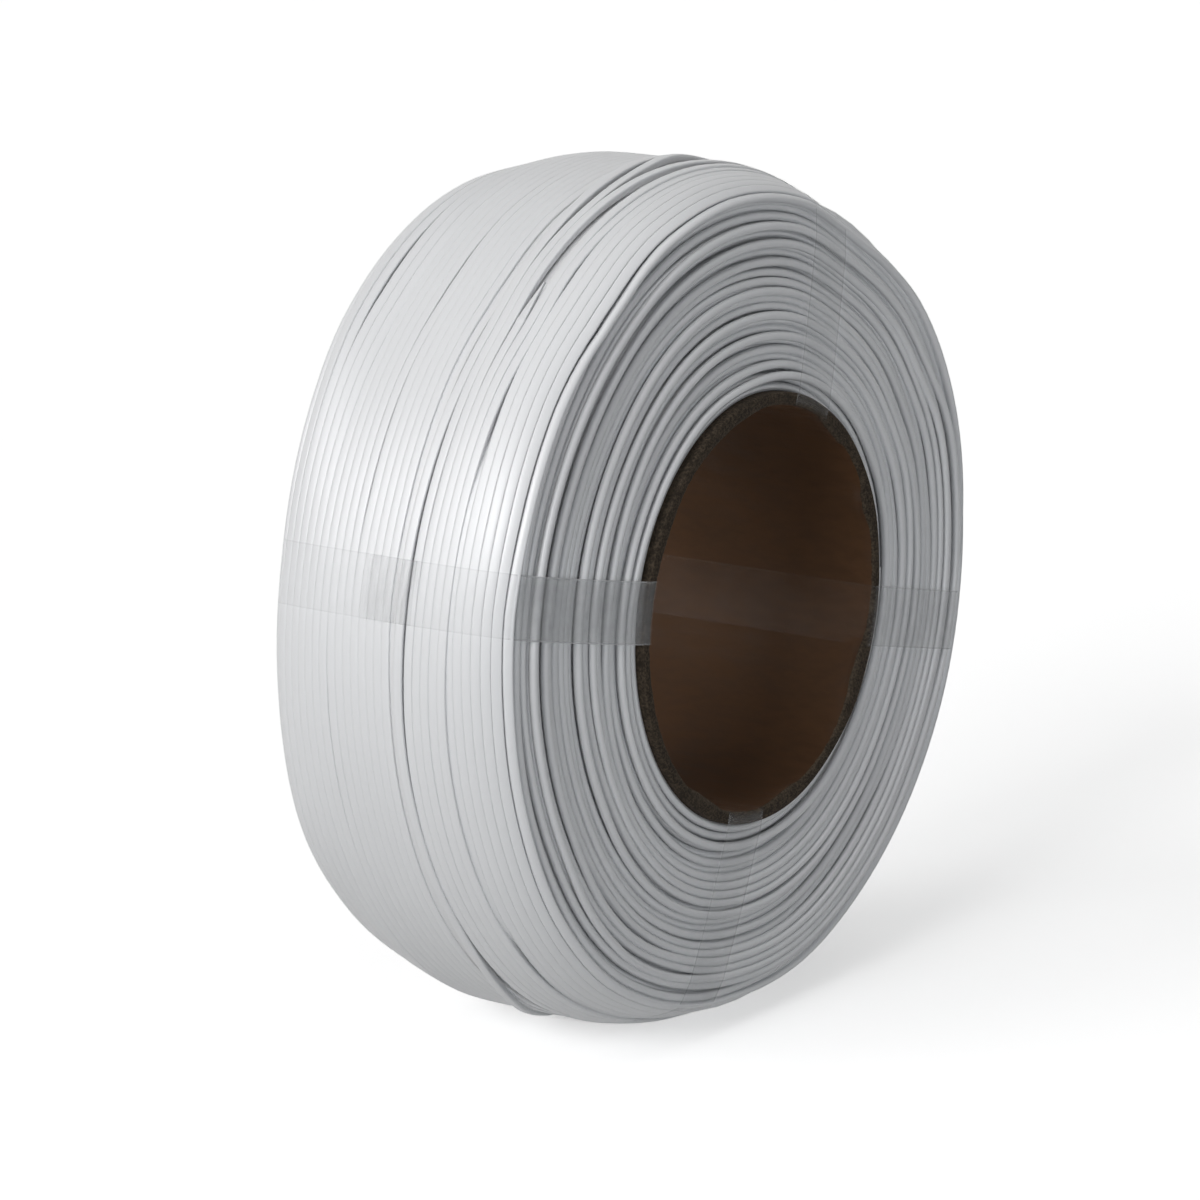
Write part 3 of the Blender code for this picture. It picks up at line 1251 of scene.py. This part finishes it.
def strap_mesh(winding, strap, width):
    """A film strap: round the coil once, its end lapped over its start on the outside."""
    half = width / 2 / MM
    aside = np.array([-1, -0.94, -0.75, -0.5, -0.25, 0, 0.25, 0.5, 0.75, 0.94, 1]) * half
    draws = np.random.default_rng(sum(map(ord, strap)))
    wrinkle = wobble(draws, 12)
    rows = []
    for t in aside:
        outline, centres = strap_section(winding, strap, t)
        points, length = walked(outline, FILM_STEP)
        if not rows:
            count = len(points)
        places = np.linspace(0, len(points) - 1, count)
        index = np.arange(len(points))
        points = np.stack([np.interp(places, index, points[:, 0]), np.interp(places, index, points[:, 1])], axis=1)
        lap = int(round((LAP_FROM - LAP_TO) / FILM_STEP))
        points = np.vstack([points[:-1], points[: lap + 1]])
        ahead = np.gradient(points, axis=0)
        ahead /= np.linalg.norm(ahead, axis=1, keepdims=True)
        out = np.stack([ahead[:, 1], -ahead[:, 0]], axis=1)
        gap = np.linalg.norm(points[:, None] - centres[None], axis=2).min(axis=1) - winding.thread / 2
        sag = 0.12 * np.clip(gap - FILM_GAP, 0, 0.6) * (points[:, 1] > 44)
        along = np.arange(len(points)) * FILM_STEP
        lifted = np.clip((along - (along[-1] - lap * FILM_STEP - 1.0)) / 1.0, 0, 1) * (FILM_THICKNESS + 0.05)
        ripple = 0.05 * wrinkle(along * 0.35, t * 1.4) * np.clip((along - along[-1] + 14) / 3, 0, 1)
        rows.append((points + out * (lifted - sag + ripple)[:, None], out, along))
    surface = []
    for (points, out, along), t in zip(rows, aside):
        for raised in (0.0, FILM_THICKNESS):
            place = points + out * raised
            angle = np.radians(strap_angle(strap, place[:, 1])) + t / place[:, 1]
            surface.append(np.stack([place[:, 1] * np.cos(angle), place[:, 0], place[:, 1] * np.sin(angle)], axis=1))
    under = np.array(surface[::2])
    over = np.array(surface[1::2])
    across, count = over.shape[:2]
    points = np.concatenate([over.reshape(-1, 3), under.reshape(-1, 3)]) * MM
    points[:, 2] = np.maximum(points[:, 2], FLOOR_HEIGHT)
    top = np.arange(across * count).reshape(across, count)
    bottom = top + across * count
    faces = []

    def sheet(grid):
        return np.stack([grid[:-1, :-1], grid[:-1, 1:], grid[1:, 1:], grid[1:, :-1]], axis=-1).reshape(-1, 4).tolist()

    faces += sheet(top)
    faces += sheet(bottom[:, ::-1])
    rim = np.concatenate([top[0], top[1:, -1], top[-1, -2::-1], top[-2:0:-1, 0]])
    low = rim + across * count
    faces += np.stack([rim, low, np.roll(low, -1), np.roll(rim, -1)], axis=-1).tolist()
    mesh = mesh_of(f"strap_{strap}_film", points, faces)
    edge = np.zeros((across, count), np.float32)
    edge[[0, -1], :] = 1
    edge[:, [0, -1]] = 1
    mesh.attributes.new("edge", "FLOAT", "POINT").data.foreach_set("value", np.tile(edge.ravel(), 2))
    height = np.array([points[:, 1] for points, out, along in rows], np.float32)
    outside, face, core = STRAP_VEILS[strap]
    veil = face + (outside - face) * eased((height - 77) / 5) + (core - face) * eased((44.5 - height) / 1.5)
    veil = veil * (0.15 + 0.85 * eased((height - 39.7) / 1.0))
    mesh.attributes.new("veil", "FLOAT", "POINT").data.foreach_set("value", np.tile(veil.ravel(), 2))
    crease = np.zeros((across, count), np.float32)
    for i, t in enumerate(aside):
        along = rows[i][2]
        crease[i] = np.clip(wrinkle(along * 0.35, t * 1.4), 0, 1) * np.clip((along - along[-1] + 13) / 2, 0, 1)
    mesh.attributes.new("crease", "FLOAT", "POINT").data.foreach_set("value", np.tile(crease.ravel(), 2))
    return mesh


class COIL_OT_straps(bpy.types.Operator):
    """Build the film straps round the coil"""

    bl_idname = "coil.straps"
    bl_label = "Film straps"

    def execute(self, context):
        settings = context.scene.coil_straps
        winding = current_winding(context.scene.coil_strand)
        finish = film_finish(settings)
        for strap in STRAP_ANGLES:
            mesh = strap_mesh(winding, strap, settings.width)
            add_piece(f"strap_{strap}_film", mesh, [finish], [f"strap_{strap}"])
        return {"FINISHED"}


LENS_TURN = math.radians(-55.52)
LENS_HEIGHT = math.radians(13.25)
LENS_DISTANCE = 1.1409
LENS_ASIDE = 0.00723
LENS_UP = 0.002115
SENSOR = 36.0
FOCAL_SHARE = 5837 / 1200


def add_camera(scene):
    """A camera at the photograph's place and angle."""
    right = Vector((math.cos(LENS_TURN), math.sin(LENS_TURN), 0.0))
    ahead = Vector(
        (
            -math.sin(LENS_TURN) * math.cos(LENS_HEIGHT),
            math.cos(LENS_TURN) * math.cos(LENS_HEIGHT),
            -math.sin(LENS_HEIGHT),
        )
    )
    up = right.cross(ahead)
    data = bpy.data.cameras.new("studio_camera")
    data.sensor_width = SENSOR
    data.lens = SENSOR * FOCAL_SHARE
    camera = bpy.data.objects.new("studio_camera", data)
    scene.collection.objects.link(camera)
    camera.matrix_world = Matrix((right, up, -ahead)).transposed().to_4x4()
    camera.location = -(right * LENS_ASIDE + up * LENS_UP + ahead * LENS_DISTANCE)
    scene.camera = camera


def add_sun(scene, name, towards, spread, strength):
    """A distant light that is even over the whole floor, with shadows as soft as it is broad."""
    data = bpy.data.lights.new(name, "SUN")
    data.energy = strength
    data.angle = spread
    light = bpy.data.objects.new(name, data)
    scene.collection.objects.link(light)
    light.rotation_euler = Vector(towards).to_track_quat("Z", "Y").to_euler()


COOL = (0.88, 0.94, 1.0)


def add_soft_light(scene, name, towards, distance, size, power, colour=(1.0, 1.0, 1.0)):
    """A square soft light that shines on the coil from a direction."""
    data = bpy.data.lights.new(name, "AREA")
    data.shape = "RECTANGLE"
    data.size, data.size_y = size
    data.energy = power
    data.color = colour
    light = bpy.data.objects.new(name, data)
    scene.collection.objects.link(light)
    direction = Vector(towards).normalized()
    light.location = direction * distance
    light.rotation_euler = direction.to_track_quat("Z", "Y").to_euler()


def seen_directly(wire):
    """1 for rays from the camera or a mirror or glass, 0 for rays that carry light to the coil."""
    path = wire.node("ShaderNodeLightPath", None, None, "Is Camera Ray")
    glossy = wire.node("ShaderNodeLightPath", None, None, "Is Glossy Ray")
    passed = wire.node("ShaderNodeLightPath", None, None, "Is Transmission Ray")
    return (path + glossy + passed).clipped()


FLOOR_BOUNCE = 0.35
FLOOR_GLOW = 0.535


def add_floor(scene, settings):
    """A plain pale floor that keeps the coil's shadow."""
    reach = 6.0
    corners = [(-reach, -reach), (reach, -reach), (reach, reach), (-reach, reach)]
    mesh = bpy.data.meshes.new("studio_floor")
    mesh.from_pydata([(x, y, FLOOR_HEIGHT) for x, y in corners], [], [(0, 1, 2, 3)])
    floor = bpy.data.objects.new("studio_floor", mesh)
    scene.collection.objects.link(floor)
    finish = bpy.data.materials.new("plain_floor")
    finish.use_nodes = True
    tree = finish.node_tree
    tree.nodes.clear()
    wire = Wire(tree)
    seen = seen_directly(wire)
    duller = tuple(FLOOR_BOUNCE * part for part in settings.floor)
    colour = seen.blend(opaque(duller), opaque(settings.floor))
    glow = seen.blend(opaque((0, 0, 0)), opaque((FLOOR_GLOW,) * 3))
    values = {"Base Color": colour, "Roughness": 1.0, "Specular IOR Level": 0.0}
    values.update({"Emission Color": glow, "Emission Strength": 1.0})
    plain = wire.node("ShaderNodeBsdfPrincipled", None, values)
    wire.node("ShaderNodeOutputMaterial", None, {"Surface": plain})
    mesh.materials.append(finish)


def add_room(scene, settings):
    """Even light from all round, and white where the camera sees past the floor."""
    world = bpy.data.worlds.new("studio_room")
    scene.world = world
    world.use_nodes = True
    tree = world.node_tree
    shader = next(node for node in tree.nodes if node.type == "BACKGROUND")
    wire = Wire(tree)
    seen = seen_directly(wire)
    strength = settings.fill + (1.0 - settings.fill) * seen
    shader.inputs["Color"].default_value = (1, 1, 1, 1)
    tree.links.new(strength.socket, shader.inputs["Strength"])


class COIL_OT_stage(bpy.types.Operator):
    """Set up the floor, the light and the camera"""

    bl_idname = "coil.stage"
    bl_label = "Studio"

    def execute(self, context):
        scene = context.scene
        settings = scene.coil_stage
        scene.view_settings.view_transform = "Standard"
        add_room(scene, settings)
        add_floor(scene, settings)
        add_sun(scene, "key_light", (-0.92, -0.07, 0.43), math.radians(22), settings.key)
        add_sun(scene, "side_light", (-0.82, 0.42, 0.42), math.radians(36), settings.side)
        add_sun(scene, "top_light", (0.1, -0.1, 1.0), math.radians(60), settings.top)
        add_soft_light(scene, "front_light", (-0.58, -0.82, 0.10), 1.6, (0.3, 0.3), settings.front, COOL)
        add_camera(scene)
        return {"FINISHED"}


class COIL_PT_panel(bpy.types.Panel):
    """Build the coil and change its sizes and colours"""

    bl_idname = "COIL_PT_panel"
    bl_label = "Filament coil"
    bl_space_type = "VIEW_3D"
    bl_region_type = "UI"
    bl_category = "Coil"

    def draw(self, context):
        scene = context.scene
        for group in (scene.coil_strand, scene.coil_core, scene.coil_straps, scene.coil_stage):
            box = self.layout.box()
            for name in group.__annotations__:
                box.prop(group, name)
        for operator in OPERATORS:
            self.layout.operator(operator.bl_idname)


OPERATORS = (COIL_OT_winding, COIL_OT_core, COIL_OT_straps, COIL_OT_stage)
GROUPS = {
    "coil_strand": StrandSettings,
    "coil_core": CoreSettings,
    "coil_straps": StrapSettings,
    "coil_stage": StageSettings,
}


def register():
    """Add the classes and their settings to Blender."""
    for group in GROUPS.values():
        bpy.utils.register_class(group)
    for operator in OPERATORS:
        bpy.utils.register_class(operator)
    bpy.utils.register_class(COIL_PT_panel)
    for name, group in GROUPS.items():
        setattr(bpy.types.Scene, name, bpy.props.PointerProperty(type=group))


def unregister():
    """Take the classes and their settings out of Blender."""
    for name in GROUPS:
        delattr(bpy.types.Scene, name)
    bpy.utils.unregister_class(COIL_PT_panel)
    for operator in reversed(OPERATORS):
        bpy.utils.unregister_class(operator)
    for group in reversed(list(GROUPS.values())):
        bpy.utils.unregister_class(group)


def main():
    """Build everything in order."""
    register()
    bpy.ops.coil.winding()
    bpy.ops.coil.core()
    bpy.ops.coil.straps()
    bpy.ops.coil.stage()


if __name__ == "__main__":
    main()
